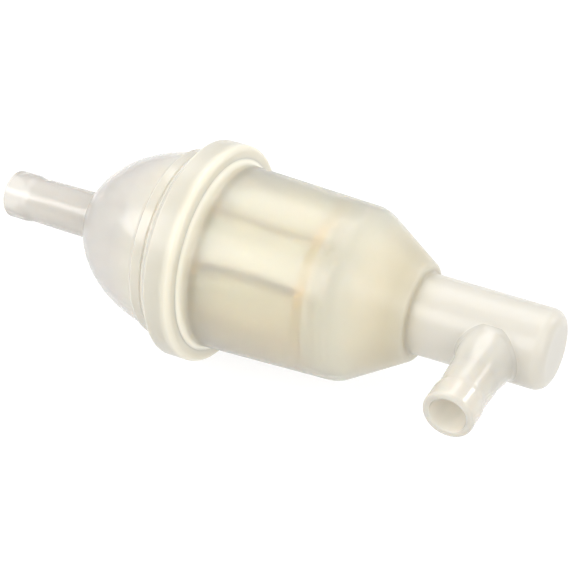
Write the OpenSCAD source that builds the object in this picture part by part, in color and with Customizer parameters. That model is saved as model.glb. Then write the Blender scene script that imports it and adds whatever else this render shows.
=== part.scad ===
// In-line fuel filter: a clear inlet cover, a moulded bowl with a blind outlet tube and a side
// outlet spigot, an overmoulded joint ring, and a pleated paper element clamped in the joint.
//
// The filter axis is X, from the inlet at -X to the blind end at +X. The side outlet points to -Y.
// The origin is on the filter axis, half way through the joint ring. Units are millimetres.

/* [Hose spigots] */
// Outside diameter of both spigots behind their beads
hose_d = 8.0; // [7.4:0.1:9.6]
// Height of the bead that grips the hose
bead_height = 0.25; // [0.1:0.05:0.4]
// Length of the bead, from the spigot's tip
bead_length = 4.1; // [3:0.1:6]
// Length of the slope behind the bead
bead_slope = 1.0; // [0.5:0.1:2]
// Edge radius at the spigot's tip
tip_round = 0.6; // [0.2:0.1:0.8]
// Bore of the inlet spigot
inlet_bore_d = 6.0; // [4.5:0.1:7]
// Bore of the outlet spigot
outlet_bore_d = 6.2; // [4.5:0.1:7]

/* [Inlet cover] */
// Length of the inlet spigot, from the dome's nose to its tip
inlet_length = 18.5; // [14:0.1:30]
// Widening of a spigot's diameter from its bead's foot to its root
spigot_taper = 0.4; // [0:0.1:0.8]
// Radius of the concave corner at the inlet spigot's root
inlet_root_fillet = 0.5; // [0.2:0.1:1]
// Width of the flat ring on the dome's nose, around the spigot's root
nose_flat = 2.1; // [1:0.1:3]
// How much wider the dome is than the body at the joint
dome_extra_d = 0.5; // [0:0.1:1]
// Half length of the ellipse that the dome follows
dome_length = 22.8; // [18:0.1:28]
// From the joint's mid plane to the centre of that ellipse
dome_centre = 1.5; // [0.5:0.1:2.5]
// Wall of the dome at its side
cover_wall = 1.5; // [1:0.1:2]
// Wall of the dome at its nose
nose_wall = 1.9; // [1.5:0.1:3]
// Width of the skirt's first band, next to the dome
skirt_1_width = 2.2; // [1.5:0.1:4]
// Height of the step up to the first band
skirt_1_rise = 0.2; // [0.1:0.05:0.5]
// Width of the skirt's second band, next to the joint ring
skirt_2_width = 2.3; // [1.8:0.1:4]
// Height of the step up to the second band
skirt_2_rise = 0.7; // [0.3:0.05:1]
// How far the second band climbs from its step to the joint ring
skirt_2_climb = 0.5; // [0:0.1:0.8]
// Length of the slope at each step
skirt_slope = 0.35; // [0.2:0.05:0.6]

/* [Joint] */
// Width of the joint ring
ring_width = 5.0; // [4.1:0.1:7]
// Thickness of the joint ring outside the flanges
ring_wall = 0.9; // [0.6:0.1:3]
// Edge radius of the ring on its inlet side
ring_round_in = 0.4; // [0.2:0.1:0.8]
// Edge radius of the ring on its outlet side
ring_round_out = 1.0; // [0.4:0.1:1.4]
// Height and length of the fillet that the ring runs up the cover's skirt
ring_fillet = 0.8; // [0.3:0.1:1]
// Height of the flanges on the cover and the bowl above the skirt
flange_rise = 0.5; // [0.3:0.1:1.5]
// Thickness of each flange
flange_thickness = 1.1; // [0.8:0.1:1.4]

/* [Bowl] */
// Diameter of the body at the joint
body_d = 32.1; // [26:0.1:39]
// How much narrower the body is at the shoulder
body_taper = 2.2; // [0:0.1:3]
// From the joint's mid plane to the shoulder
shoulder_x = 28.4; // [23:0.1:40]
// Radius of the rounded shoulder
shoulder_round = 5.0; // [2:0.5:7]
// Wall of the body
body_wall = 1.4; // [1:0.1:1.8]
// Fillet between the joint ring and the body
body_fillet = 0.9; // [0.3:0.1:1.2]
// Length of the cone, from the shoulder to its nose
cone_length = 11.0; // [9:0.1:16]
// Height of the step from the tube up to the cone's nose
cone_nose_step = 1.35; // [1.2:0.05:2]
// Radius of the rounded nose of the cone
cone_nose_round = 1.1; // [0.4:0.1:1.1]

/* [Outlet tube] */
// Diameter of the tube at the cone
tube_d = 13.7; // [11.4:0.1:16.5]
// How much narrower the tube is at its blind end
tube_taper = 0.3; // [0:0.1:0.6]
// Length of the tube, from the cone's nose to the blind end
tube_length = 23.2; // [19:0.1:30]
// Edge radius of the blind end
tube_end_round = 1.0; // [0.3:0.1:2]
// Concave corner between the cone's nose and the tube
tube_root_fillet = 0.5; // [0.2:0.1:0.6]
// Bore of the tube
tube_bore_d = 8.6; // [7:0.1:10.4]
// Thickness of the blind end
tube_end_wall = 2.5; // [1.5:0.1:3.5]
// From the blind end back to the side outlet's axis
outlet_from_end = 9.3; // [7.7:0.1:12]
// Length of the side outlet, from the tube's side to its tip
outlet_length = 14.9; // [12.4:0.1:25]
// Widening of the side outlet's radius at the tube
outlet_flare = 0.7; // [0.2:0.1:1]
// Length of that flare, outside the tube
outlet_flare_length = 5.0; // [2:0.1:6]

/* [Element] */
// Number of pleats
pleats = 8; // [6:1:10]
// Turn of the pleats about the filter axis
pleat_turn = -4.5; // [-20:0.5:20]
// Thickness of the filter paper
paper_thickness = 0.6; // [0.4:0.05:0.8]
// Clear width of the valley between two pleats
valley_gap = 1.2; // [0.8:0.1:2]
// Radius of the bend between a pleat's crown and its sides, at the middle of the paper
crown_bend = 1.5; // [0.8:0.1:2]
// From the filter axis to the bottom of the valleys
valley_r = 6.0; // [5.8:0.1:7.5]
// Clearance between the element and the body's inside wall, at the closed end
element_clearance = 0.4; // [0.2:0.05:0.8]
// From the outside of the closed end disc to the body's shoulder
element_end_gap = 3.6; // [3:0.1:8]
// Thickness of the seat ring's flat disc
seat_thickness = 0.8; // [0.6:0.05:1]
// How far the seat ring's edge stops short of the flanges' edge
seat_inset = 1.0; // [0.5:0.1:1.5]
// Clearance between the paper and the seat ring's inner lip
lip_clearance = 0.4; // [0.2:0.1:0.8]
// Wall of the seat ring's two lips
lip_wall = 0.5; // [0.4:0.05:0.6]
// Height of the seat ring's two lips above its disc
lip_height = 1.2; // [0.8:0.1:2]
// Depth of the adhesive at the open end
open_adhesive = 3.6; // [2.5:0.1:5]
// Depth of the adhesive at the closed end
closed_adhesive = 1.8; // [1.2:0.1:3]
// Adhesive between the paper's edge and the disc at either end
paper_bed = 0.4; // [0.2:0.1:0.8]
// Thickness of the closed end disc
disc_thickness = 0.8; // [0.5:0.1:1.5]
// Edge radius of that disc, on its outside
disc_edge_round = 0.3; // [0.1:0.1:0.4]
// Width of the glued strip where the paper's two ends meet
seam_width = 3.0; // [2:0.1:4]
// Thickness of that strip
seam_thickness = 0.35; // [0.2:0.05:0.5]

/* [Hidden] */

// Segments of a full turn, of each rounded corner and of the dome's curve
turn_fn = 96;
corner_steps = 6;
dome_steps = 22;
// Segments of a pleat's crown and of each of its bends
crown_steps = 8;
bend_steps = 5;
// Cuts run this far past the faces that they open
past = 1;
// The body's fillet takes this share of its corner's height, so it ends short of the ring
fillet_share = 0.95;
// The side outlet is straight up to this share of the tube's radius, inside the tube
outlet_root_share = 0.85;
// The inside shoulder lies this share of the wall before the outside one, which keeps the cone's
// wall even, and its corner radius is never less than this one
shoulder_share = 0.25;
least_round = 0.1;
// The adhesive, and the disc at the closed end, stand this far past the paper's crowns
adhesive_edge = 0.1;

spigot_r = hose_d / 2;
spigot_root_r = spigot_r + spigot_taper / 2;
bead_r = spigot_r + bead_height;

// The joint, outwards from the seat ring in its middle
seat_half = seat_thickness / 2;
flange_out = seat_half + flange_thickness;
ring_half = ring_width / 2;
dome_r = (body_d + dome_extra_d) / 2;
skirt_1_r = dome_r + skirt_1_rise;
skirt_2_r = skirt_1_r + skirt_2_rise;
skirt_top_r = skirt_2_r + skirt_2_climb;
flange_r = skirt_top_r + flange_rise;
ring_r = flange_r + ring_wall;
seat_r = flange_r - seat_inset;

// The cover, from the joint towards the inlet
skirt_2_x = ring_half + skirt_2_width;
skirt_1_x = skirt_2_x + skirt_1_width;
nose_r = spigot_root_r + nose_flat;
nose_x = -dome_centre - dome_length * cos(asin(nose_r / dome_r));
inlet_tip_x = nose_x - inlet_length;

// The bowl, from the joint towards the blind end
shoulder_r = (body_d - body_taper) / 2;
body_draft = body_taper / 2 / (shoulder_x - ring_half);
neck_r = body_d / 2 + body_fillet;
tube_end_r = (tube_d - tube_taper) / 2;
cone_nose_x = shoulder_x + cone_length;
tube_end_x = cone_nose_x + tube_length;
outlet_x = tube_end_x - outlet_from_end;
outlet_reach = tube_end_r + outlet_length;

// The element fits inside the body at the closed end, where the drafted wall is nearest.
element_end_x = shoulder_x - element_end_gap;
disc_x = element_end_x - disc_thickness;
crown_r = body_inner_r(element_end_x) - element_clearance;
adhesive_r = crown_r + adhesive_edge;
paper_start = seat_half + paper_bed;
paper_end = disc_x - paper_bed;
lip_inner_r = valley_r - paper_thickness - lip_clearance;
seat_bore_r = lip_inner_r - lip_wall;
valley_half = (valley_gap + paper_thickness) / 2;

// Inside radius of the body's drafted wall at a place on the filter axis
function body_inner_r(x) = body_d / 2 - body_draft * (x - ring_half) - body_wall;

function unit(v) = v / norm(v);

// The rounded corner at b of the path a, b, c: an arc of radius r that is tangent to both lines
function corner(a, b, c, r) =
    r == 0 ? [b] :
    let (
        to_a = unit(a - b),
        to_c = unit(c - b),
        half = acos(to_a * to_c) / 2,
        centre = b + unit(to_a + to_c) * r / sin(half),
        first = b + to_a * r / tan(half) - centre,
        last = b + to_c * r / tan(half) - centre,
        sweep = 180 - 2 * half
    )
    [for (i = [0:corner_steps])
        let (part = sweep * i / corner_steps)
        centre + (first * sin(sweep - part) + last * sin(part)) / sin(sweep)];

// A closed outline from points [radius, place on the axis, corner radius]
function outline(path) =
    let (n = len(path), flat = [for (p = path) [p[0], p[1]]])
    [for (i = [0:n - 1])
        each corner(flat[(i + n - 1) % n], flat[i], flat[(i + 1) % n], path[i][2])];

// A solid of revolution about the filter axis
module about_axis(path) {
    rotate([0, 90, 0])
        rotate_extrude($fn = turn_fn)
            polygon(outline(path));
}

// Points of a quarter ellipse about the dome's centre, from one angle to another
function dome_curve(half_length, radius, from, to) = [
    for (i = [0:dome_steps])
        let (t = from + (to - from) * i / dome_steps)
        [radius * sin(t), -dome_centre - half_length * cos(t), 0]
];

// The outside of a hose spigot whose tip is at a place on its axis, from the foot of its bead's
// slope to the tip. The way is +1 for a spigot that runs towards higher places, or -1.
function bead_path(tip, way) = [
    [spigot_r, tip - way * (bead_length + bead_slope), 0],
    [bead_r, tip - way * bead_length, 0],
    [bead_r, tip, tip_round]
];

function reversed(path) = [for (i = [len(path) - 1:-1:0]) path[i]];

module inlet_cover() {
    bore_r = inlet_bore_d / 2;
    inner_r = dome_r - cover_wall;
    inner_length = dome_length - nose_wall;
    color("#e6e4e0", 0.6)
        about_axis(concat(
            [[bore_r, inlet_tip_x, 0]],
            reversed(bead_path(inlet_tip_x, -1)),
            [[spigot_root_r, nose_x, inlet_root_fillet]],
            dome_curve(
                dome_length, dome_r,
                asin(nose_r / dome_r), acos((skirt_1_x - dome_centre) / dome_length)
            ),
            [
                [skirt_1_r, skirt_slope - skirt_1_x, skirt_slope / 2],
                [skirt_1_r, -skirt_2_x, 0],
                [skirt_2_r, skirt_slope - skirt_2_x, skirt_slope / 2],
                [skirt_top_r, -ring_half - ring_fillet, 0],
                [skirt_top_r, -flange_out, 0],
                [flange_r, -flange_out, 0],
                [flange_r, -seat_half, 0],
                [inner_r, -seat_half, 0]
            ],
            dome_curve(inner_length, inner_r, 90, asin(bore_r / inner_r))
        ));
}

// The bowl's outside, as one solid of revolution
module bowl_outside() {
    about_axis([
        [0, seat_half, 0],
        [flange_r, seat_half, 0],
        [flange_r, flange_out, 0],
        [neck_r, flange_out, 0],
        [neck_r, ring_half, 0],
        [body_d / 2, ring_half, body_fillet * fillet_share],
        [shoulder_r, shoulder_x, shoulder_round],
        [tube_d / 2 + cone_nose_step, cone_nose_x, cone_nose_round],
        [tube_d / 2, cone_nose_x, tube_root_fillet],
        [tube_end_r, tube_end_x, tube_end_round],
        [0, tube_end_x, 0]
    ]);
}

// The bowl's cavity: the body, the cone and the tube's bore. It runs past the open end.
// The inside cone meets the bore at the cone's nose, so the step there stays thick.
module bowl_cavity() {
    bore_r = tube_bore_d / 2;
    inner_end_x = tube_end_x - tube_end_wall;
    inner_shoulder_x = shoulder_x - body_wall * shoulder_share;
    about_axis([
        [0, -past, 0],
        [body_inner_r(-past), -past, 0],
        [body_inner_r(inner_shoulder_x), inner_shoulder_x, max(shoulder_round - body_wall, least_round)],
        [bore_r, cone_nose_x, 0],
        [bore_r, inner_end_x, 0],
        [0, inner_end_x, 0]
    ]);
}

// Puts a shape that is built up along Z on the side outlet's axis
module along_outlet() {
    translate([outlet_x, 0, 0])
        rotate([90, 0, 0])
            children();
}

// The side outlet, from the filter axis to its tip, with a flare where it leaves the tube
module outlet_spigot() {
    flare_foot = tube_end_r + outlet_flare_length;
    along_outlet()
        rotate_extrude($fn = turn_fn)
            polygon(outline(concat(
                [
                    [0, 0, 0],
                    [spigot_root_r + outlet_flare, 0, 0],
                    [spigot_root_r + outlet_flare, tube_end_r * outlet_root_share, 0],
                    [spigot_root_r, flare_foot, 0]
                ],
                bead_path(outlet_reach, 1),
                [[0, outlet_reach, 0]]
            )));
}

module filter_bowl() {
    color("#ece6d6", 0.7)
        difference() {
            union() {
                bowl_outside();
                outlet_spigot();
            }
            bowl_cavity();
            along_outlet()
                cylinder(h = outlet_reach + past, d = outlet_bore_d, $fn = turn_fn);
        }
}

module joint_ring() {
    color("#f2efe4", 0.9)
        about_axis([
            [skirt_top_r, -ring_half - ring_fillet, 0],
            [skirt_top_r + ring_fillet, -ring_half, 0],
            [ring_r, -ring_half, ring_round_in],
            [ring_r, ring_half, ring_round_out],
            [neck_r, ring_half, 0],
            [neck_r, flange_out, 0],
            [flange_r, flange_out, 0],
            [flange_r, seat_half, 0],
            [seat_r, seat_half, 0],
            [seat_r, -seat_half, 0],
            [flange_r, -seat_half, 0],
            [flange_r, -flange_out, 0],
            [skirt_top_r, -flange_out, 0]
        ]);
}

module element_seat_ring() {
    lip_x = seat_half + lip_height;
    color("#efe9d8")
        difference() {
            about_axis([
                [seat_bore_r, -seat_half, 0],
                [seat_r, -seat_half, 0],
                [seat_r, seat_half, 0],
                [adhesive_r + lip_wall, seat_half, 0],
                [adhesive_r + lip_wall, lip_x, 0],
                [seat_bore_r, lip_x, 0]
            ]);
            about_axis([
                [lip_inner_r, seat_half, 0],
                [adhesive_r, seat_half, 0],
                [adhesive_r, lip_x + past, 0],
                [lip_inner_r, lip_x + past, 0]
            ]);
        }
}

// One pleat's outline about the Y axis, from the valley on its left, over the crown, to the one on
// its right.
// The middle line of the paper is moved outwards by off: the crown is an arc about the filter
// axis, each side runs beside the valley's middle line, and the valley ends in a half circle.
function pleat_points(off) =
    let (
        step = 180 / pleats,
        mid_r = crown_r - paper_thickness / 2,
        bend_centre_r = mid_r - crown_bend,
        bend_turn = asin((valley_half + crown_bend) / bend_centre_r),
        bend_angle = step - bend_turn,
        valley_r_mid = valley_r + valley_half - paper_thickness / 2
    )
    concat(
        [for (i = [0:bend_steps])
            valley_r_mid * toward(step)
            + (valley_half - off) * toward(step + 180 + 90 * i / bend_steps)],
        [for (i = [0:bend_steps])
            bend_centre_r * toward(bend_angle)
            + (crown_bend + off) * toward(step + 90 - (90 + bend_turn) * i / bend_steps)],
        [for (i = [1:crown_steps - 1])
            (mid_r + off) * toward(bend_angle - 2 * bend_angle * i / crown_steps)],
        [for (i = [bend_steps:-1:0])
            bend_centre_r * toward(-bend_angle)
            + (crown_bend + off) * toward(-step - 90 + (90 + bend_turn) * i / bend_steps)],
        [for (i = [bend_steps:-1:1])
            valley_r_mid * toward(-step)
            + (valley_half - off) * toward(-step - 180 - 90 * i / bend_steps)]
    );

// Direction at an angle from +Y, turning towards -X
function toward(a) = [-sin(a), cos(a)];

function turned(p, a) = [p[0] * cos(a) - p[1] * sin(a), p[0] * sin(a) + p[1] * cos(a)];

// All pleats around the axis
function pleated_outline(off) = [
    for (k = [0:pleats - 1])
        each [for (p = pleat_points(off)) turned(p, -k * 360 / pleats)]
];

// Puts a flat shape that is extruded along Z on the filter axis, with its Y side up along +Z
module along_axis(x) {
    translate([x, 0, 0])
        rotate([pleat_turn, 0, 0])
            rotate([90, 0, 90])
                children();
}

// The space that the paper fills between two places on the axis
module paper_between(from, to) {
    along_axis(from)
        linear_extrude(to - from)
            difference() {
                polygon(pleated_outline(paper_thickness / 2));
                polygon(pleated_outline(-paper_thickness / 2));
            }
}

module pleated_paper() {
    color("#efdfb8")
        paper_between(paper_start, paper_end);
}

// Lies on the inside of one pleat's side, between the adhesive at the two ends
module paper_side_seam() {
    from = seat_half + open_adhesive;
    to = disc_x - closed_adhesive;
    middle_r = (valley_r + crown_r) / 2;
    color("#c9a25e")
        along_axis(from)
            rotate([0, 0, 180 / pleats])
                translate([valley_half + paper_thickness / 2, middle_r - seam_width / 2, 0])
                    cube([seam_thickness, seam_width, to - from]);
}

module open_end_adhesive() {
    top_x = seat_half + open_adhesive;
    color("#cfa860")
        difference() {
            about_axis([
                [lip_inner_r, seat_half, 0],
                [adhesive_r, seat_half, 0],
                [adhesive_r, top_x, 0],
                [lip_inner_r, top_x, 0]
            ]);
            paper_between(paper_start, top_x + past);
        }
}

module closed_end_adhesive() {
    color("#cfa860")
        difference() {
            about_axis([
                [0, disc_x - closed_adhesive, 0],
                [adhesive_r, disc_x - closed_adhesive, 0],
                [adhesive_r, disc_x, 0],
                [0, disc_x, 0]
            ]);
            paper_between(disc_x - closed_adhesive - past, paper_end);
        }
}

module closed_end_disc() {
    color("#efe9d8")
        about_axis([
            [0, disc_x, 0],
            [adhesive_r, disc_x, 0],
            [adhesive_r, element_end_x, disc_edge_round],
            [0, element_end_x, 0]
        ]);
}

inlet_cover();
filter_bowl();
joint_ring();
element_seat_ring();
pleated_paper();
paper_side_seam();
open_end_adhesive();
closed_end_adhesive();
closed_end_disc();
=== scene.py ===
"""The in-line fuel filter's looks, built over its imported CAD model.

The frame is the CAD's: X along the filter axis from the inlet to the blind end, the side outlet
towards -Y, +Z up, the origin on the axis half way through the joint ring. Sizes are worked out in
millimetres, and a piece becomes metres when its mesh is made.
"""

import math

import bpy
import numpy as np
from mathutils import Matrix, Vector


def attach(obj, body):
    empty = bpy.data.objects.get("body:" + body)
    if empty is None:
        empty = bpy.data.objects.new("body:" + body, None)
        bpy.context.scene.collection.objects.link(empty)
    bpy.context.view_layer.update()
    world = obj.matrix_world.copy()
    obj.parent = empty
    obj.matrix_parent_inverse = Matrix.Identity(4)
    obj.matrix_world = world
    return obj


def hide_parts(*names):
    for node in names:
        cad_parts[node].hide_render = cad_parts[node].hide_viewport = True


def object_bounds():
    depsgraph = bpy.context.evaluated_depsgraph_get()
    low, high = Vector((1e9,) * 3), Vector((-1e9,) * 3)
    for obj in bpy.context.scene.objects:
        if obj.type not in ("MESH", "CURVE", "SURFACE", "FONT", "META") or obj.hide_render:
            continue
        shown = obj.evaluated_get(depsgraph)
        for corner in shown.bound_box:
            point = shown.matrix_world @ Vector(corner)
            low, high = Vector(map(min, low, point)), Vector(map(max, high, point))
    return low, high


MM = 0.001

# Spigots
SPIGOT_R, SPIGOT_ROOT_R = 4.0, 4.2
BEAD_R, BEAD_LENGTH, BEAD_SLOPE, BEAD_ROUND, TIP_ROUND = 4.25, 4.1, 1.0, 3.0, 0.6
INLET_BORE_R, OUTLET_BORE_R, BORE_ROUND = 3.0, 3.1, 0.25
# Cover
NOSE_R, NOSE_X, NOSE_ROUND, INLET_TIP_X = 6.3, -22.53, 0.5, -41.03
DOME_R, DOME_LENGTH, DOME_CENTRE = 16.3, 22.8, -1.5
DOME_INNER_R, DOME_INNER_LENGTH = 14.8, 20.9
SKIRT_1_R, SKIRT_1_X, SKIRT_2_R, SKIRT_2_X, SKIRT_TOP_R = 16.5, -7.0, 17.2, -4.8, 17.7
# The line at the foot of each of the skirt's steps
GROOVE_WIDTH, GROOVE_DEPTH = 0.5, 0.2
# Joint
FLANGE_R, FLANGE_IN, FLANGE_OUT = 18.2, 0.4, 1.5
RING_R, RING_HALF, RING_FILLET = 19.1, 2.5, 0.8
SEAT_R = 17.2
# Bowl
BODY_R, SHOULDER_R, SHOULDER_X, BODY_WALL, NECK_R = 16.05, 14.95, 28.4, 1.4, 16.95
BODY_DRAFT = (BODY_R - SHOULDER_R) / (SHOULDER_X - RING_HALF)
BODY_FILLET, SHOULDER_ROUND, SHOULDER_INNER_ROUND = 0.85, 5.0, 3.6
CONE_NOSE_R, CONE_NOSE_X, CONE_NOSE_ROUND, TUBE_ROOT_ROUND = 8.2, 39.4, 1.1, 0.5
TUBE_R, TUBE_END_R, TUBE_END_X, TUBE_END_ROUND = 6.85, 6.7, 62.6, 2.2
CAVITY_R, CAVITY_END_X = 4.3, 60.1
OUTLET_X, OUTLET_REACH, FLARE_R, FLARE_IN, FLARE_OUT = 53.3, 21.6, 4.9, 5.7, 11.7
OUTLET_FILLET, OUTLET_MOUTH_ROUND = 0.75, 0.3
# The turned grid of the bowl is left open round the outlet for this far each way along the axis,
# and for this turn each way
WINDOW_HALF, WINDOW_TURN = 7.0, math.radians(66)
# Element
PLEATS, PLEAT_TURN, PAPER = 8, -4.5, 0.6
CROWN_R, CROWN_BEND, VALLEY_GAP, VALLEY_R = 13.3, 1.5, 1.2, 6.0
PAPER_START, PAPER_END = 0.8, 23.6

# Moulded edges that are sharp in the CAD have one of these radii: free edges, and edges that meet
# another piece
EDGE, FIT_EDGE = 0.12, 0.03


# ---------------------------------------------------------------- shapes

def rounded(path, closed=False):
    """A profile through the points (radius, place on the axis, corner radius).

    The corner at b between the lines to a and c becomes the arc of its radius that touches both:
    its centre is b + (unit to a + unit to c) / |.| * radius / sin(half the angle between them).
    """
    flat = np.array([p[:2] for p in path], float)
    pieces = []
    for i, (_, _, radius) in enumerate(path):
        a, b, c = flat[i - 1], flat[i], flat[(i + 1) % len(path)]
        if radius == 0 or (not closed and i in (0, len(path) - 1)):
            pieces.append(b[None])
            continue
        to_a, to_c = (a - b) / np.linalg.norm(a - b), (c - b) / np.linalg.norm(c - b)
        half = math.acos(np.clip(to_a @ to_c, -1, 1)) / 2
        middle = (to_a + to_c) / np.linalg.norm(to_a + to_c)
        centre = b + middle * radius / math.sin(half)
        first = b + to_a * radius / math.tan(half) - centre
        last = b + to_c * radius / math.tan(half) - centre
        sweep = math.pi - 2 * half
        part = np.linspace(0, sweep, max(3, math.ceil(math.degrees(sweep) / 9)) + 1)[:, None]
        pieces.append(centre + (first * np.sin(sweep - part) + last * np.sin(part)) / math.sin(sweep))
    return np.concatenate(pieces)


def filled(line, closed=False, step=1.2, margin=0.12):
    """The same profile with points put into its longer straight stretches: one close to each end,
    which keeps the shading of the stretch flat, and the rest evenly between them."""
    ends = np.roll(line, -1, axis=0) if closed else line[1:]
    pieces = []
    for a, b in zip(line, ends):
        length = np.linalg.norm(b - a)
        pieces.append(a[None])
        if length > 6 * margin:
            parts = max(1, math.ceil((length - 2 * margin) / step))
            places = np.linspace(margin, length - margin, parts + 1)[:, None]
            pieces.append(a + (b - a) * places / length)
    if not closed:
        pieces.append(line[-1:])
    return np.concatenate(pieces)


def turned_about_x(profile, turns):
    """Point (i, j) = (x_i, -r_i cos(turn_j), r_i sin(turn_j)) for the profile's (r_i, x_i)."""
    r, x = profile[:, :1], profile[:, 1:]
    return np.stack([x + 0 * turns, -r * np.cos(turns), r * np.sin(turns)], axis=-1)


def numbered(shape, start=0):
    """The numbers of a grid's points, row by row."""
    return start + np.arange(shape[0] * shape[1]).reshape(shape)


def looped(ids, rows=False, columns=False):
    """A grid of point numbers whose last row or column meets its first."""
    if rows:
        ids = np.concatenate([ids, ids[:1]])
    if columns:
        ids = np.concatenate([ids, ids[:, :1]], axis=1)
    return ids


def triangles(ids, keep=None):
    """Each cell of a grid of point numbers as two triangles. A side with no length is dropped, so a
    row whose numbers are all the same closes to a pole."""
    a, b, c, d = ids[:-1, :-1], ids[:-1, 1:], ids[1:, 1:], ids[1:, :-1]
    keep = np.ones(a.shape, bool) if keep is None else keep
    cells = np.concatenate([
        np.stack([p[keep] for p in three], axis=-1) for three in ((a, b, c), (a, c, d))
    ])
    real = (cells[:, 0] != cells[:, 1]) & (cells[:, 1] != cells[:, 2]) & (cells[:, 2] != cells[:, 0])
    return cells[real]


def piece(name, points, faces, slot, material, *nodes):
    """A piece from points in millimetres and closed triangles, facing outwards, shaded smooth. It
    rides on the filter's one body and stands for those CAD nodes."""
    used, faces = np.unique(faces, return_inverse=True)
    points, faces = points[used] * MM, faces.reshape(-1, 3)
    a, b, c = (points[faces[:, k]] for k in range(3))
    if np.einsum("ij,ij->i", a, np.cross(b, c)).sum() < 0:
        faces = faces[:, ::-1]
    mesh = bpy.data.meshes.new(name)
    mesh.from_pydata(points.tolist(), [], faces.tolist())
    mesh.shade_smooth()
    mesh.materials.append(material)
    made = bpy.data.objects.new(name, mesh)
    bpy.context.scene.collection.objects.link(made)
    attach(made, "root")
    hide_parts(*nodes)
    return made


def solid_of_turning(name, path, slot, material, *nodes, columns=240):
    """A closed profile turned about the filter axis."""
    profile = filled(rounded(path, closed=True), closed=True)
    turns = np.arange(columns) * 2 * math.pi / columns
    points = turned_about_x(profile, turns)
    ids = looped(numbered(points.shape[:2]), rows=True, columns=True)
    return piece(name, points.reshape(-1, 3), triangles(ids), slot, material, *nodes)


def dome_curve(length, radius, first, last, steps=48):
    """Quarter ellipse: r = radius sin(t), x = centre - length cos(t), for t from first to last."""
    t = np.linspace(first, last, steps)
    return [(radius * math.sin(a), DOME_CENTRE - length * math.cos(a), 0) for a in t]


def bead(tip, way):
    """The outside of a hose spigot's tip, from the foot of its bead's slope."""
    return [
        (SPIGOT_R, tip - way * (BEAD_LENGTH + BEAD_SLOPE), BEAD_ROUND),
        (BEAD_R, tip - way * BEAD_LENGTH, BEAD_ROUND),
        (BEAD_R, tip, TIP_ROUND),
    ]


def inlet_cover(material):
    """The clear dome with its inlet spigot and the two steps of its skirt."""
    path = [
        (INLET_BORE_R, INLET_TIP_X, BORE_ROUND),
        *bead(INLET_TIP_X, -1)[::-1],
        (SPIGOT_ROOT_R, NOSE_X, NOSE_ROUND),
        *dome_curve(DOME_LENGTH, DOME_R, math.asin(NOSE_R / DOME_R),
                    math.acos((-SKIRT_1_X + DOME_CENTRE) / DOME_LENGTH)),
        (SKIRT_1_R - GROOVE_DEPTH - 0.2, SKIRT_1_X + GROOVE_WIDTH / 2, 0.1),
        (SKIRT_1_R, SKIRT_1_X + GROOVE_WIDTH, 0.2),
        (SKIRT_1_R, SKIRT_2_X, 0.1),
        (SKIRT_1_R - GROOVE_DEPTH, SKIRT_2_X + GROOVE_WIDTH / 2, 0.1),
        (SKIRT_2_R, SKIRT_2_X + GROOVE_WIDTH * 1.6, 0.3),
        (SKIRT_TOP_R, -RING_HALF - RING_FILLET, 0),
        (SKIRT_TOP_R, -FLANGE_OUT, EDGE),
        (FLANGE_R, -FLANGE_OUT, EDGE),
        (FLANGE_R, -FLANGE_IN, EDGE),
        (DOME_INNER_R, -FLANGE_IN, EDGE),
        *dome_curve(DOME_INNER_LENGTH, DOME_INNER_R, math.pi / 2,
                    math.asin(INLET_BORE_R / DOME_INNER_R)),
    ]
    return solid_of_turning("inlet_cover_moulding", path, "clear_nylon", material, "inlet_cover")


def joint_ring(material):
    """The ring moulded round the two flanges."""
    path = [
        (SKIRT_TOP_R, -RING_HALF - RING_FILLET, FIT_EDGE),
        (SKIRT_TOP_R + RING_FILLET, -RING_HALF, 0.6),
        (RING_R, -RING_HALF, 0.4),
        (RING_R, RING_HALF, 1.0),
        (NECK_R - 2 * FIT_EDGE, RING_HALF, FIT_EDGE),
        (NECK_R - 2 * FIT_EDGE, FLANGE_OUT, FIT_EDGE),
        (FLANGE_R, FLANGE_OUT, FIT_EDGE),
        (FLANGE_R, FLANGE_IN, FIT_EDGE),
        (SEAT_R, FLANGE_IN, FIT_EDGE),
        (SEAT_R, -FLANGE_IN, FIT_EDGE),
        (FLANGE_R, -FLANGE_IN, FIT_EDGE),
        (FLANGE_R, -FLANGE_OUT, FIT_EDGE),
        (SKIRT_TOP_R, -FLANGE_OUT, FIT_EDGE),
    ]
    return solid_of_turning("joint_ring_moulding", path, "milky_nylon", material, "joint_ring")


def body_inner_r(x):
    return BODY_R - BODY_DRAFT * (x - RING_HALF) - BODY_WALL


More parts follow.
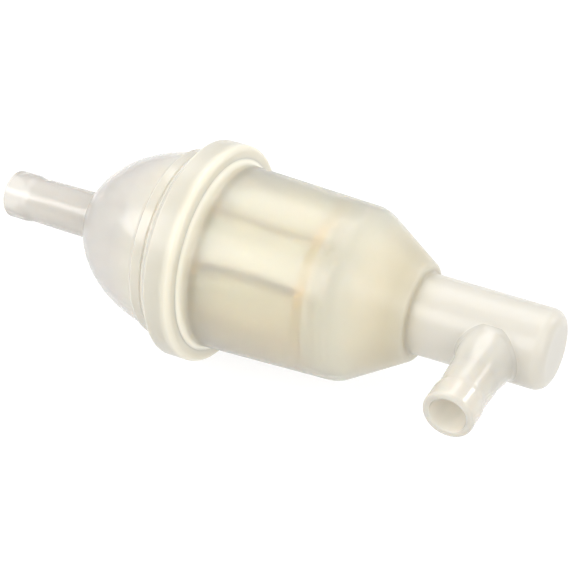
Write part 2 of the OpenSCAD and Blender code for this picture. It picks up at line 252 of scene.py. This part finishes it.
def filter_bowl(material):
    """The bowl: a turned profile from the blind end's pole, over the outside, round the open end,
    to the cavity's pole. Two windows are left in the turned grid, one in the tube's outside and one
    in its bore, and the side outlet is a sleeve of rays that joins the edges of the two windows.

    A ray lies in the half plane at angle a about the outlet's axis. Its points are
    (x, y, z) = (x0 + q cos a, -t, q sin a), with q the distance from the outlet's axis and t the
    height above the filter axis. It runs over the tube, t = sqrt(R(x)^2 - z^2), round a fillet, up
    the spigot to its tip, down the bore and out over the cavity's wall.
    """
    # Cells over a window's turn and its length, and columns over the rest of the turn
    across, along, beyond = 96, 56, 134
    inner_half = WINDOW_HALF * CAVITY_R / TUBE_R
    window_start, window_end = OUTLET_X - WINDOW_HALF, OUTLET_X + WINDOW_HALF
    inner_shoulder_x = SHOULDER_X - BODY_WALL / 4

    def tube_r(x):
        return TUBE_R + (TUBE_END_R - TUBE_R) * (x - CONE_NOSE_X) / (TUBE_END_X - CONE_NOSE_X)

    def rows_over(radius, start, end):
        """The rows of a window, from one place on the axis to another."""
        x = np.linspace(start, end, along + 1)
        return np.stack([radius(x) + 0 * x, x], axis=-1)

    tail = filled(rounded([
        (0, TUBE_END_X, 0), (TUBE_END_R, TUBE_END_X, TUBE_END_ROUND), (tube_r(window_end), window_end, 0),
    ]))
    front = filled(rounded([
        (tube_r(window_start), window_start, 0),
        (TUBE_R, CONE_NOSE_X, TUBE_ROOT_ROUND),
        (CONE_NOSE_R, CONE_NOSE_X, CONE_NOSE_ROUND),
        (SHOULDER_R, SHOULDER_X, SHOULDER_ROUND),
        (BODY_R, RING_HALF, BODY_FILLET),
        (NECK_R, RING_HALF, FIT_EDGE),
        (NECK_R, FLANGE_OUT, FIT_EDGE),
        (FLANGE_R, FLANGE_OUT, FIT_EDGE),
        (FLANGE_R, FLANGE_IN, FIT_EDGE),
        (body_inner_r(FLANGE_IN), FLANGE_IN, EDGE),
        (body_inner_r(inner_shoulder_x), inner_shoulder_x, SHOULDER_INNER_ROUND),
        (CAVITY_R, CONE_NOSE_X, 0.6),
        (CAVITY_R, OUTLET_X - inner_half, 0),
    ]))
    back = filled(rounded([
        (CAVITY_R, OUTLET_X + inner_half, 0), (CAVITY_R, CAVITY_END_X, 0.5), (0, CAVITY_END_X, 0),
    ]))
    outer_rows = rows_over(tube_r, window_end, window_start)
    inner_rows = rows_over(lambda x: CAVITY_R, OUTLET_X - inner_half, OUTLET_X + inner_half)
    profile = np.concatenate([tail[:-1], outer_rows, front[1:-1], inner_rows, back[1:]])
    outer_first = len(tail) - 1
    inner_first = outer_first + len(outer_rows) + len(front) - 2

    turns = np.concatenate([
        np.linspace(-WINDOW_TURN, WINDOW_TURN, across + 1),
        np.linspace(WINDOW_TURN, 2 * math.pi - WINDOW_TURN, beyond)[1:-1],
    ])
    points = turned_about_x(profile, turns)
    ids = numbered(points.shape[:2])
    ids[0], ids[-1] = ids[0, 0], ids[-1, 0]

    def window_edge(top, bottom):
        """The numbers round a window, starting at its corner nearest the blind end."""
        way = 1 if bottom > top else -1
        down = np.arange(top, bottom + way, way)
        return np.concatenate([
            ids[top, :across], ids[down[:-1], across], ids[bottom, across:0:-1], ids[down[:0:-1], 0],
        ])

    outer_edge = window_edge(outer_first, outer_first + along)
    inner_edge = window_edge(inner_first + along, inner_first)
    flat = points.reshape(-1, 3)

    def polar(edge):
        """Angle about the outlet's axis and distance from it."""
        dx, z = flat[edge, 0] - OUTLET_X, flat[edge, 2]
        return np.arctan2(z, dx), np.hypot(dx, z)

    angle, outer_q = polar(outer_edge)
    inner_angle, inner_q = polar(inner_edge)
    inner_angle = angle + (inner_angle - angle + math.pi) % (2 * math.pi) - math.pi

    def on_tube(q, a):
        return np.sqrt(tube_r(OUTLET_X + q * np.cos(a)) ** 2 - (q * np.sin(a)) ** 2)

    def on_cavity(q, a):
        return np.sqrt(CAVITY_R ** 2 - (q * np.sin(a)) ** 2)

    def flare(t):
        """Radius of the spigot's flared root at a height: a smooth step from one end to the other."""
        s = np.clip((t - FLARE_IN) / (FLARE_OUT - FLARE_IN), 0, 1)
        return FLARE_R + (SPIGOT_ROOT_R - FLARE_R) * s * s * (3 - 2 * s)

    def bend(a, b, c, steps=9):
        """A quadratic curve from a to c that leaves and arrives along the lines to b."""
        s = np.linspace(0, 1, steps)[:, None, None]
        return (1 - s) ** 2 * a + 2 * s * (1 - s) * b + s ** 2 * c

    def between(a, b, steps):
        return a + (b - a) * np.linspace(0, 1, steps)[:, None]

    foot_t = on_tube(SPIGOT_ROOT_R + 0.6, angle)
    foot_q = flare(foot_t)
    over_q = between(outer_q, foot_q + OUTLET_FILLET, 9)
    over = np.stack([over_q, on_tube(over_q, angle)], axis=-1)
    root = bend(over[-1], np.stack([foot_q, on_tube(foot_q, angle)], -1),
                np.stack([flare(foot_t + OUTLET_FILLET), foot_t + OUTLET_FILLET], -1))
    side_t = between(foot_t + OUTLET_FILLET, FLARE_OUT + 0 * foot_t, 9)
    side = np.stack([flare(side_t), side_t], axis=-1)
    spigot = filled(rounded([
        (SPIGOT_ROOT_R, FLARE_OUT, 0), *bead(OUTLET_REACH, 1), (OUTLET_BORE_R, OUTLET_REACH, BORE_ROUND),
        (OUTLET_BORE_R, OUTLET_REACH - 1, 0),
    ]))[:, None, :] + np.zeros((1, len(angle), 1))
    wall_t = on_cavity(OUTLET_BORE_R, inner_angle)
    bore_t = between(OUTLET_REACH - 1 + 0 * wall_t, wall_t + OUTLET_MOUTH_ROUND, 14)
    bore = np.stack([OUTLET_BORE_R + 0 * bore_t, bore_t], axis=-1)
    out_q = between(OUTLET_BORE_R + OUTLET_MOUTH_ROUND + 0 * wall_t, inner_q, 7)
    out = np.stack([out_q, on_cavity(out_q, inner_angle)], axis=-1)
    lip = bend(bore[-1], np.stack([OUTLET_BORE_R + 0 * wall_t, wall_t], -1), out[0], 6)
    # spigot[:2] is the flare's own end and a point close to it, so both are left out
    rays = np.concatenate([over[1:], root[1:], side[1:], spigot[2:], bore[1:], lip[1:], out[1:-1]])
    first_bore = len(over) + len(root) + len(side) + len(spigot) - 5
    share = np.clip((np.arange(len(rays)) - first_bore) / len(bore), 0, 1)[:, None]
    about = angle + (inner_angle - angle) * share
    sleeve = np.stack([
        OUTLET_X + rays[..., 0] * np.cos(about), -rays[..., 1], rays[..., 0] * np.sin(about),
    ], axis=-1)
    sleeve_ids = np.concatenate([outer_edge[None], numbered(sleeve.shape[:2], len(flat)), inner_edge[None]])

    cells = np.ones((len(profile) - 1, len(turns)), bool)
    cells[outer_first:outer_first + along, :across] = False
    cells[inner_first:inner_first + along, :across] = False
    faces = np.concatenate([
        triangles(looped(ids, columns=True), cells), triangles(looped(sleeve_ids, columns=True)),
    ])
    every = np.concatenate([flat, sleeve.reshape(-1, 3)])
    return piece("filter_bowl_moulding", every, faces, "natural_nylon", material, "filter_bowl")


def pleat_line(off):
    """The line of the folded paper about the filter axis, moved outwards by off, as (right, up).

    Each pleat is an arc about the axis for its crown, two bends, two straight sides that run beside
    the valleys' middle lines, and half of the rounded bottom of the valley on either side.
    """
    def toward(a):
        return np.stack([-np.sin(a), np.cos(a)], axis=-1)

    step = math.pi / PLEATS
    valley_half = (VALLEY_GAP + PAPER) / 2
    mid_r = CROWN_R - PAPER / 2
    bend_r = mid_r - CROWN_BEND
    bend_turn = math.asin((valley_half + CROWN_BEND) / bend_r)
    bend_angle = step - bend_turn
    bottom_r = VALLEY_R + valley_half - PAPER / 2
    quarter = math.pi / 2
    s = np.linspace(0, 1, 9)
    bottom = bottom_r * toward(step) + (valley_half - off) * toward(step + math.pi + quarter * s)
    bend_way = toward(step + quarter - (quarter + bend_turn) * s)
    shoulder = bend_r * toward(bend_angle) + (CROWN_BEND + off) * bend_way
    side = bottom[-1] + (shoulder[0] - bottom[-1]) * np.linspace(0, 1, 12)[1:-1, None]
    crown = (mid_r + off) * toward(bend_angle * np.linspace(1, 0, 9)[1:])
    left = np.concatenate([bottom, side, shoulder, crown])
    pleat = np.concatenate([left, left[-2:0:-1] * [-1, 1]])
    turn = -np.arange(PLEATS)[:, None] * 2 * step
    return np.stack([
        pleat[:, 0] * np.cos(turn) - pleat[:, 1] * np.sin(turn),
        pleat[:, 0] * np.sin(turn) + pleat[:, 1] * np.cos(turn),
    ], axis=-1).reshape(-1, 2)


def pleated_paper(material):
    """The folded sheet: the pleats' line, moved out by half the paper for its outside and in for its
    inside, carried along the filter axis. The folds lean and swell a little along their length: the
    turn about the axis gets sin waves in x whose phase grows with the turn, and so does the radius.
    """
    places = np.linspace(PAPER_START, PAPER_END, 44)
    out, inn = pleat_line(PAPER / 2), pleat_line(-PAPER / 2)
    x = np.concatenate([places, places[::-1]])[:, None]
    sheet = np.concatenate([np.repeat(out[None], len(places), 0), np.repeat(inn[None], len(places), 0)])
    r = np.hypot(sheet[..., 0], sheet[..., 1])
    a = np.arctan2(sheet[..., 0], sheet[..., 1])
    free = np.sin(np.clip((x - 1) / (PAPER_END - 2), 0, 1) * math.pi)
    lean = np.radians(1.6) * np.sin(x * 0.32 + 3 * a + 1.0) + np.radians(0.7) * np.sin(x * 0.9 + 5 * a)
    swell = 0.012 * np.sin(x * 0.27 + 2 * a + 0.4) - 0.008
    a = a + lean * free * (r / CROWN_R)
    r = r * (1 + swell * free)
    turn = a - math.radians(PLEAT_TURN)
    points = np.stack([x + 0 * r, -r * np.sin(-turn), r * np.cos(turn)], axis=-1)
    ids = looped(numbered(points.shape[:2]), rows=True, columns=True)
    return piece("pleated_paper_sheet", points.reshape(-1, 3), triangles(ids), "filter_paper", material,
                 "pleated_paper")


# ---------------------------------------------------------------- materials

def linear(code):
    """The linear colour of an sRGB hex code, with full alpha."""
    c = np.array([int(code[k:k + 2], 16) for k in (1, 3, 5)]) / 255
    return (*np.where(c <= 0.04045, c / 12.92, ((c + 0.055) / 1.055) ** 2.4), 1.0)


def per_mm(size):
    """A texture's scale for features of a size in millimetres, on Object coordinates in metres."""
    return 1 / (size * MM)


def node(tree, kind, inputs=None, stops=(), **settings):
    """Adds a node, with its settings, with each input set to a value or linked from a socket, and with
    the stops (share, colour) of its ramp."""
    made = tree.nodes.new(kind)
    for name, value in settings.items():
        setattr(made, name, value)
    for place, _ in stops[2:]:
        made.color_ramp.elements.new(place)
    for stop, (place, colour) in zip(made.color_ramp.elements if stops else (), stops):
        stop.position, stop.color = place, colour
    for key, value in (inputs or {}).items():
        if isinstance(value, bpy.types.NodeSocket):
            tree.links.new(value, made.inputs[key])
        else:
            made.inputs[key].default_value = value
    return made


def plain(name):
    """A new material and its node tree, with nothing in it yet."""
    made = bpy.data.materials.new(name)
    made.use_nodes = True
    made.node_tree.nodes.clear()
    return made, made.node_tree


def moulded_skin(tree, ripple, depth):
    """The place on the piece, the slow flow ripples of a moulded surface, and the normal of those
    ripples with a fine grain left by the mould's polish."""
    place = node(tree, "ShaderNodeTexCoord").outputs["Object"]
    flow = node(tree, "ShaderNodeTexNoise", {
        "Vector": place, "Scale": per_mm(ripple), "Detail": 2.0,
    }).outputs[0]
    grain = node(tree, "ShaderNodeTexNoise", {
        "Vector": place, "Scale": per_mm(0.35), "Detail": 2.0,
    }).outputs[0]
    both = node(tree, "ShaderNodeMath", {0: grain, 1: 0.12, 2: flow}, operation="MULTIPLY_ADD").outputs[0]
    bump = node(tree, "ShaderNodeBump", {
        "Height": both, "Strength": 0.5, "Distance": depth * MM,
    }).outputs["Normal"]
    return place, flow, bump


def clear_moulded_nylon():
    """Unfilled nylon in a thin wall, moulded and glossy: clear enough to see through, grey at its
    edges, with bright bands where its steps catch the light."""
    made, tree = plain("clear_moulded_nylon")
    place, _, bump = moulded_skin(tree, 4.0, 0.06)
    tone = along(tree, place, (-24, "#e7e4de"), (-12, "#f1eee8"), (-6, "#eeeade"), (-3.3, "#e6e1d2"))
    shader = node(tree, "ShaderNodeBsdfPrincipled", {
        "Base Color": tone,
        "Transmission Weight": along(tree, place, (-12, 0.62), (-6, 0.5), (-3.3, 0.38)),
        "Roughness": 0.16, "IOR": 1.5,
        "Subsurface Weight": 1.0, "Subsurface Radius": (1.0, 0.9, 0.8), "Subsurface Scale": 1.0 * MM,
        "Normal": bump,
    })
    depth = node(tree, "ShaderNodeVolumeAbsorption", {"Color": (0.88, 0.86, 0.84, 1), "Density": 700.0})
    node(tree, "ShaderNodeOutputMaterial", {"Surface": shader.outputs[0], "Volume": depth.outputs[0]})
    return made


def along(tree, place, *stops):
    """A value or colour that changes along the filter axis, through the stops (x in mm, value)."""
    low, high = stops[0][0], stops[-1][0]
    x = node(tree, "ShaderNodeSeparateXYZ", {0: place}).outputs["X"]
    share = node(tree, "ShaderNodeMapRange", {
        "Value": x, "From Min": low * MM, "From Max": high * MM,
    }).outputs[0]
    shares = [
        ((at - low) / (high - low), linear(value) if isinstance(value, str) else (value, value, value, 1))
        for at, value in stops
    ]
    return node(tree, "ShaderNodeValToRGB", {0: share}, shares).outputs[0]


def natural_moulded_nylon():
    """Natural nylon, moulded: milky where it is thick, at the neck and in the tube, and clearer in
    the body's thin wall, where the pleats show as soft shapes, and in the side outlet.

    The outlet is told by its distance from its own axis, and by how far it is from the filter's.
    """
    made, tree = plain("natural_moulded_nylon")
    place, _, bump = moulded_skin(tree, 5.0, 0.06)
    away = node(tree, "ShaderNodeVectorMath", {
        0: place, 1: (1, 0, 1), 2: (-OUTLET_X * MM, 0, 0),
    }, operation="MULTIPLY_ADD").outputs[0]
    distance = node(tree, "ShaderNodeVectorMath", {0: away}, operation="LENGTH").outputs["Value"]
    near = node(tree, "ShaderNodeMapRange", {
        "Value": distance, "From Min": 5.6 * MM, "From Max": 5.2 * MM,
    }).outputs[0]
    y = node(tree, "ShaderNodeSeparateXYZ", {0: place}).outputs["Y"]
    past_wall = node(tree, "ShaderNodeMath", {0: y, 1: -4.4 * MM}, operation="LESS_THAN").outputs[0]
    sleeve = node(tree, "ShaderNodeMath", {0: near, 1: past_wall}, operation="MULTIPLY").outputs[0]
    reach = node(tree, "ShaderNodeMapRange", {
        "Value": y, "From Min": -6 * MM, "From Max": -12 * MM,
    }).outputs[0]
    outlet = node(tree, "ShaderNodeMath", {0: sleeve, 1: reach}, operation="MULTIPLY").outputs[0]
    wall_clearness = along(tree, place, (2.6, 0.02), (4.6, 0.8), (26, 0.8), (36, 0.5), (43, 0.22))
    clearness = node(tree, "ShaderNodeMath", {
        0: outlet, 1: 0.34, 2: wall_clearness,
    }, operation="MULTIPLY_ADD").outputs[0]
    haze = node(tree, "ShaderNodeMath", {
        0: outlet, 1: -2.4 * MM, 2: along(tree, place, (2.4, 0.5 * MM), (4, 1.5 * MM), (8, 3.5 * MM)),
    }, operation="MULTIPLY_ADD").outputs[0]
    tone = node(tree, "ShaderNodeMix", {
        "Factor": outlet, "B": linear("#ece8df"),
        "A": along(tree, place, (2.6, "#efead9"), (3.6, "#e4decb"), (6, "#fef9ea"), (30, "#fcf5e5"),
                   (37, "#dad3bd"), (43, "#cfcbc1")),
    }, data_type="RGBA").outputs["Result"]
    polish = node(tree, "ShaderNodeMapRange", {"Value": sleeve, "To Min": 0.4, "To Max": 0.18}).outputs[0]
    shader = node(tree, "ShaderNodeBsdfPrincipled", {
        "Base Color": tone, "Transmission Weight": clearness, "Roughness": polish, "IOR": 1.45,
        "Coat Weight": 0.25, "Coat Roughness": 0.12, "Subsurface Weight": 1.0,
        "Subsurface Radius": (1.0, 0.9, 0.75), "Subsurface Scale": haze, "Normal": bump,
    })
    depth = node(tree, "ShaderNodeVolumeAbsorption", {"Color": (0.92, 0.9, 0.83, 1), "Density": 120.0})
    node(tree, "ShaderNodeOutputMaterial", {"Surface": shader.outputs[0], "Volume": depth.outputs[0]})
    return made


def milky_overmoulded_nylon():
    """The same nylon in one thick ring: light goes in and comes out cream, and nothing shows
    through."""
    made, tree = plain("milky_overmoulded_nylon")
    place, _, bump = moulded_skin(tree, 6.0, 0.05)
    shader = node(tree, "ShaderNodeBsdfPrincipled", {
        "Base Color": along(tree, place, (-3.3, "#d5d1c5"), (1.2, "#d4cfbf"), (2.5, "#d6d1c1")),
        "Transmission Weight": along(tree, place, (0.5, 0.3), (2.0, 0.02)),
        "Roughness": 0.4, "IOR": 1.45, "Coat Weight": 0.25, "Coat Roughness": 0.15,
        "Subsurface Weight": 1.0, "Subsurface Radius": (1.0, 0.9, 0.75), "Subsurface Scale": 1.2 * MM,
        "Normal": bump,
    })
    node(tree, "ShaderNodeOutputMaterial", {"Surface": shader.outputs[0]})
    return made


def pleated_cellulose_paper():
    """Resin-treated cellulose filter paper: matt cream with short fibres and a slight mottle, and with
    painted shade: tanner low down and deep in its folds."""
    made, tree = plain("pleated_cellulose_paper")
    place = node(tree, "ShaderNodeTexCoord").outputs["Object"]
    fibre = node(tree, "ShaderNodeTexNoise", {"Vector": place, "Scale": per_mm(0.5), "Detail": 4.0})
    mottle = node(tree, "ShaderNodeTexNoise", {"Vector": place, "Scale": per_mm(4.0), "Detail": 2.0})
    # Painted shade: the paper gets tanner the lower it sits, from 7 mm above the axis down to 5 mm below
    # it.
    height = node(tree, "ShaderNodeSeparateXYZ", {0: place}).outputs["Z"]
    painted_shade_height = node(tree, "ShaderNodeMapRange", {
        "Value": height, "From Min": -5 * MM, "From Max": 7 * MM,
    }).outputs[0]
    cream = node(tree, "ShaderNodeMix", {
        "Factor": painted_shade_height, "A": linear("#f3c98a"), "B": linear("#fdf3dc"),
    }, data_type="RGBA").outputs["Result"]
    # Painted shade in the folds: the paper turns a deeper tan inward of 12.7 mm from the axis, and is fully
    # that tan at 11.5 mm.
    across = node(tree, "ShaderNodeVectorMath", {0: place, 1: (0, 1, 1)}, operation="MULTIPLY").outputs[0]
    radius = node(tree, "ShaderNodeVectorMath", {0: across}, operation="LENGTH").outputs["Value"]
    depth = node(tree, "ShaderNodeMapRange", {
        "Value": radius, "From Min": 12.7 * MM, "From Max": 11.5 * MM,
    }).outputs[0]
    folded = node(tree, "ShaderNodeMix", {
        "Factor": depth, "A": cream, "B": linear("#ffe2a6"),
    }, data_type="RGBA").outputs["Result"]
    patches = node(tree, "ShaderNodeMapRange", {"Value": mottle.outputs[0], "To Max": 0.3}).outputs[0]
    tone = node(tree, "ShaderNodeMix", {
        "Factor": patches, "A": folded, "B": linear("#f3d8a4"),
    }, data_type="RGBA")
    bump = node(tree, "ShaderNodeBump", {
        "Height": fibre.outputs[0], "Strength": 0.6, "Distance": 0.05 * MM,
    })
    shader = node(tree, "ShaderNodeBsdfPrincipled", {
        "Base Color": tone.outputs["Result"], "Roughness": 0.85, "Subsurface Weight": 1.0,
        "Subsurface Radius": (1.0, 0.85, 0.6), "Subsurface Scale": 2.6 * MM, "Normal": bump.outputs[0],
    })
    node(tree, "ShaderNodeOutputMaterial", {"Surface": shader.outputs[0]})
    return made


def potting_adhesive():
    """Cured polyurethane potting: pale amber, smooth, slightly see-through."""
    made, tree = plain("cured_potting_adhesive")
    _, flow, bump = moulded_skin(tree, 3.0, 0.1)
    tone = node(tree, "ShaderNodeMix", {
        "Factor": flow, "A": linear("#dcb666"), "B": linear("#e9cd8c"),
    }, data_type="RGBA")
    shader = node(tree, "ShaderNodeBsdfPrincipled", {
        "Base Color": tone.outputs["Result"], "Roughness": 0.35, "Subsurface Weight": 0.7,
        "Subsurface Radius": (1.0, 0.8, 0.4), "Subsurface Scale": 1.0 * MM, "Normal": bump,
    })
    node(tree, "ShaderNodeOutputMaterial", {"Surface": shader.outputs[0]})
    return made


def seat_polypropylene():
    """Cream polypropylene, moulded: satin, a little waxy."""
    made, tree = plain("moulded_seat_plastic")
    _, _, bump = moulded_skin(tree, 3.0, 0.05)
    shader = node(tree, "ShaderNodeBsdfPrincipled", {
        "Base Color": linear("#f3efe2"), "Roughness": 0.45, "Subsurface Weight": 0.6,
        "Subsurface Radius": (1.0, 0.9, 0.75), "Subsurface Scale": 1.0 * MM, "Normal": bump,
    })
    node(tree, "ShaderNodeOutputMaterial", {"Surface": shader.outputs[0]})
    return made


def backlit_opal_acrylic():
    """A light table's opal sheet, lit evenly from below: white, matt, with almost no shadow on it and
    a very slight unevenness."""
    made, tree = plain("backlit_opal_acrylic")
    place = node(tree, "ShaderNodeTexCoord").outputs["Object"]
    grain = node(tree, "ShaderNodeTexNoise", {"Vector": place, "Scale": per_mm(2.0), "Detail": 3.0})
    tone = node(tree, "ShaderNodeMix", {
        "Factor": grain.outputs[0], "A": linear("#6f6f6e"), "B": linear("#747473"),
    }, data_type="RGBA")
    shader = node(tree, "ShaderNodeBsdfPrincipled", {
        "Base Color": tone.outputs["Result"], "Roughness": 0.8,
        "Emission Color": linear("#ffffff"), "Emission Strength": 0.86,
    })
    node(tree, "ShaderNodeOutputMaterial", {"Surface": shader.outputs[0]})
    return made


# ---------------------------------------------------------------- studio

def camera(target, distance, azimuth, elevation, roll, lens):
    """Looks at a point from a distance, turned about +Z from -Y, raised, and rolled about its view."""
    a, e = math.radians(azimuth), math.radians(elevation)
    back = Vector((math.sin(a) * math.cos(e), -math.cos(a) * math.cos(e), math.sin(e)))
    data = bpy.data.cameras.new("camera")
    data.sensor_width, data.lens = 36.0, lens
    data.clip_start, data.clip_end = 0.01, 20.0
    made = bpy.data.objects.new("camera", data)
    bpy.context.scene.collection.objects.link(made)
    turn = back.to_track_quat("Z", "Y").to_matrix() @ Matrix.Rotation(math.radians(roll), 3, "Z")
    made.matrix_world = Matrix.Translation(Vector(target) * MM + back * distance * MM) @ turn.to_4x4()
    bpy.context.scene.camera = made
    return made


def soft_box(name, place, target, width, height, watts):
    """A white rectangular soft box at a place in millimetres, facing another."""
    data = bpy.data.lights.new(name, "AREA")
    data.shape, data.size, data.size_y = "RECTANGLE", width * MM, height * MM
    data.energy = watts
    made = bpy.data.objects.new(name, data)
    bpy.context.scene.collection.objects.link(made)
    turn = (Vector(target) - Vector(place)).to_track_quat("-Z", "Y").to_matrix()
    made.matrix_world = Matrix.Translation(Vector(place) * MM) @ turn.to_4x4()
    return made


def floor_sheet(height, half):
    """A flat board under the filter: a grid of points at one height."""
    u, v = np.meshgrid(np.linspace(-half, half, 9), np.linspace(-half, half, 9), indexing="ij")
    points = np.stack([u, v, height + 0 * u], axis=-1) * MM
    faces = triangles(numbered(u.shape))
    mesh = bpy.data.meshes.new("floor")
    mesh.from_pydata(points.reshape(-1, 3).tolist(), [], faces[:, ::-1].tolist())
    mesh.materials.append(backlit_opal_acrylic())
    made = bpy.data.objects.new("floor", mesh)
    bpy.context.scene.collection.objects.link(made)
    return made


def surroundings(strength):
    """A light tent: brighter overhead than at the horizon."""
    world = bpy.data.worlds.new("light_tent")
    bpy.context.scene.world = world
    world.use_nodes = True
    tree = world.node_tree
    tree.nodes.clear()
    way = node(tree, "ShaderNodeTexCoord").outputs["Generated"]
    height = node(tree, "ShaderNodeSeparateXYZ", {0: way}).outputs["Z"]
    share = node(tree, "ShaderNodeMapRange", {
        "Value": height, "From Min": -0.2, "From Max": 0.9,
    }).outputs[0]
    tone = node(tree, "ShaderNodeMix", {
        "Factor": share, "A": linear("#cfd2d6"), "B": linear("#ffffff"),
    }, data_type="RGBA").outputs["Result"]
    light = node(tree, "ShaderNodeBackground", {"Color": tone, "Strength": strength})
    node(tree, "ShaderNodeOutputWorld", {"Surface": light.outputs[0]})


# ---------------------------------------------------------------- the scene

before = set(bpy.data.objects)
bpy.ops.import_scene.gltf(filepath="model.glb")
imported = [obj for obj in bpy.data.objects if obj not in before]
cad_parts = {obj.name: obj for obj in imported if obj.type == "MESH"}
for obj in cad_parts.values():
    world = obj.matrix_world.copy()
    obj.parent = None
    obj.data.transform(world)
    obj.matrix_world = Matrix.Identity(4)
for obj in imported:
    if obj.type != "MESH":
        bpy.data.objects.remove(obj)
cad_low, cad_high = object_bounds()

camera(target=(12.98, 2.59, -5.37), distance=312.13, azimuth=29.11, elevation=37.01,
       roll=-1.91, lens=113.757)

clear, natural, milky = clear_moulded_nylon(), natural_moulded_nylon(), milky_overmoulded_nylon()
inlet_cover(clear)
filter_bowl(natural)
joint_ring(milky)
pleated_paper(pleated_cellulose_paper())

glue, seat = potting_adhesive(), seat_polypropylene()
for name, finish in {
    "open_end_adhesive": glue, "closed_end_adhesive": glue, "paper_side_seam": glue,
    "element_seat_ring": seat, "closed_end_disc": seat,
}.items():
    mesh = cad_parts[name].data
    mesh.materials.clear()
    mesh.materials.append(finish)

floor_sheet(height=cad_low.z / MM - 0.05, half=900)
surroundings(0.98)
soft_box("top_box", (-70, 190, 400), (10, 0, 0), 300, 320, 0.8)
soft_box("front_box", (-130, -320, 300), (10, 0, 0), 320, 260, 1.12)
soft_box("left_box", (-338, -195, 225), (-5, 0, 0), 200, 200, 0.4)
soft_box("right_box", (330, -120, 150), (40, 0, 0), 220, 220, 0.4)
soft_box("back_strip", (298, 326, 190), (53, -12, 0), 36, 110, 0.3)

bpy.context.scene.view_settings.view_transform = "Standard"
